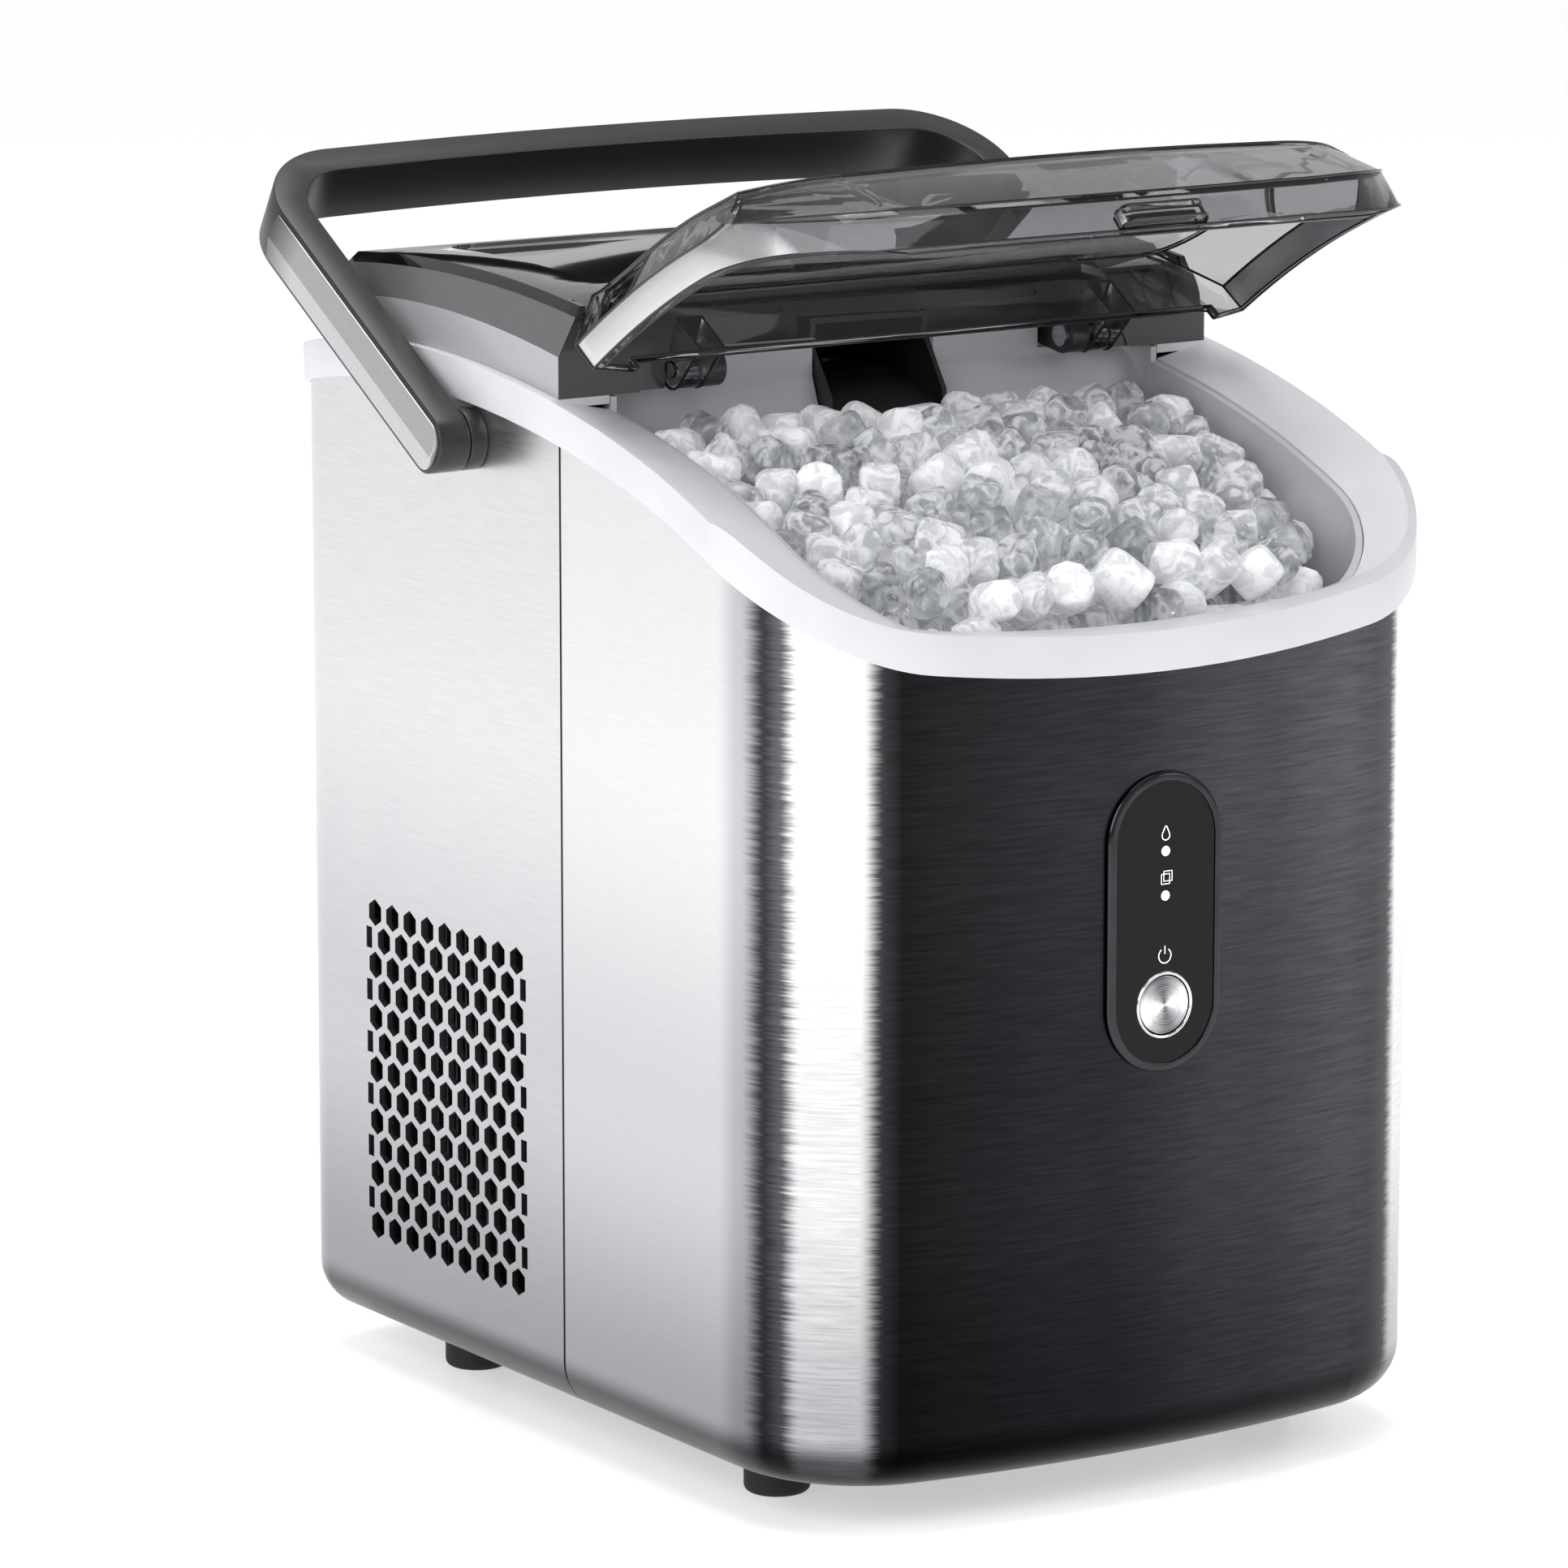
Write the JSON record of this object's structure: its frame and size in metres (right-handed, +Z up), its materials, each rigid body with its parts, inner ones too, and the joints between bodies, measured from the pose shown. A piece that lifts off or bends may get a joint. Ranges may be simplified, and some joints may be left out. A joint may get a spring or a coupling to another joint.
{
  "type": "nugget ice maker",
  "caption": "Countertop nugget ice maker with a bowed brushed body, smoked tilt-up lid, side vents, capsule control panel and folding carrying handle.",
  "frame": {"origin": "On the counter under the four feet, midway between the body's sides and between its front and rear faces", "axes": "+X to the machine's left-hand side as seen from behind (right as seen from the front), -Y out of the front face, +Z up"},
  "size_m": [0.262, 0.2985, 0.3749],
  "materials": {
    "brushed_front": "fine horizontal brushing",
    "silver_shell": "satin",
    "steel_sheet": "plain",
    "rubber": "matte",
    "zinc": "plated",
    "light_plastic": "fine satin",
    "grey_plastic": "satin",
    "gloss_black": "mirror gloss",
    "black_plastic": "satin",
    "smoked_clear": "polished",
    "satin_black": "satin",
    "silver_trim": "satin metallic",
    "led": "clear lens",
    "bright_ring": "polished",
    "spun_metal": "spun",
    "circuit": "solder mask",
    "spring_steel": "drawn",
    "clear_basket": "gloss",
    "foam": "foam",
    "cast_metal": "cast",
    "bronze": "sintered",
    "gear_steel": "machined",
    "stainless": "turned",
    "copper": "drawn copper",
    "aluminium_fins": "mill",
    "compressor_black": "semi-gloss",
    "silicone": "translucent"
  },
  "bodies": {
    "cabinet": {"auger_bearing": "bronze", "base_pan": "steel_sheet", "base_screws": "zinc", "bin_insulation": "foam", "bin_liner": "light_plastic", "board_tray": "grey_plastic", "button_ring": "bright_ring", "button_spring": "spring_steel", "button_switch": "black_plastic", "chassis_frame": "steel_sheet", "compressor": "compressor_black", "compressor_grommets": "rubber", "condenser": "aluminium_fins", "control_board": "circuit", "cover_top_panel": "gloss_black", "drain_spout": "grey_plastic", "evaporator_coil": "copper", "evaporator_tube": "stainless", "extruder_head": "stainless", "fan_motor": "zinc", "fan_shroud": "black_plastic", "filter_drier": "copper", "float_stem": "light_plastic", "foam_jacket": "foam", "foot_screws": "zinc", "front_shell": "brushed_front", "gear_motor": "zinc", "gearbox_housing": "cast_metal", "hinge_beam": "black_plastic", "hinge_brackets": "black_plastic", "hinge_pins": "zinc", "ice_chute": "black_plastic", "ice_sensors": "black_plastic", "led_windows": "led", "main_board": "circuit", "panel_bezel": "gloss_black", "panel_face": "gloss_black", "pivot_bushes": "satin_black", "power_inlet": "black_plastic", "rear_cover": "grey_plastic", "rear_shell": "silver_shell", "refrigerant_pipes": "copper", "rubber_feet": "rubber", "top_rim": "light_plastic", "water_hoses": "silicone", "water_pump": "light_plastic"},
    "lid": {"lid": "smoked_clear"},
    "handle": {"handle_bail": "satin_black", "handle_trim_left": "silver_trim", "handle_trim_right": "silver_trim", "pivot_screws": "zinc"},
    "button": {"power_button": "spun_metal"},
    "auger_shaft": {"auger": "stainless", "auger_wheel": "gear_steel"},
    "pinion_shaft": {"motor_pinion": "gear_steel"},
    "fan": {"fan_blade": "black_plastic"},
    "basket": {"ice_basket": "clear_basket"},
    "float": {"water_float": "light_plastic"},
    "drain_cap": {"drain_plug": "rubber"}
  },
  "joints": [
    {"name": "lid_hinge", "type": "hinge", "parent": "cabinet", "child": "lid", "pos_m": [0, -0.008, 0.31], "axis": [-1, 0, 0], "range_deg": [-45.7, 0]},
    {"name": "handle_swing", "type": "hinge", "parent": "cabinet", "child": "handle", "pos_m": [0, 0.038, 0.288], "axis": [1, 0, 0], "range_deg": [0, 90]},
    {"name": "button_press", "type": "slide", "parent": "cabinet", "child": "button", "axis": [0, 1, 0], "range_m": [0, 0.0012], "stiffness_N_per_m": 800, "springref_m": -0.0005},
    {"name": "auger_spin", "type": "hinge", "parent": "cabinet", "child": "auger_shaft", "pos_m": [0, 0.044, 0.2], "axis": [0, 0, 1], "continuous": true},
    {"name": "pinion_spin", "type": "hinge", "parent": "cabinet", "child": "pinion_shaft", "pos_m": [0, 0.074, 0.165], "axis": [0, 0, 1], "continuous": true},
    {"name": "fan_spin", "type": "hinge", "parent": "cabinet", "child": "fan", "pos_m": [-0.076, 0.056, 0.09], "axis": [1, 0, 0], "continuous": true},
    {"name": "basket_lift", "type": "slide", "parent": "cabinet", "child": "basket", "axis": [0, 0, 1], "range_m": [0, 0.03]},
    {"name": "float_rise", "type": "slide", "parent": "cabinet", "child": "float", "axis": [0, 0, 1], "range_m": [0, 0.012]},
    {"name": "drain_pull", "type": "slide", "parent": "cabinet", "child": "drain_cap", "axis": [0, 1, 0], "range_m": [0, 0.02]}
  ],
  "couplings": [
    {"joint": "pinion_spin", "follows": "auger_spin", "ratio": -4}
  ]
}
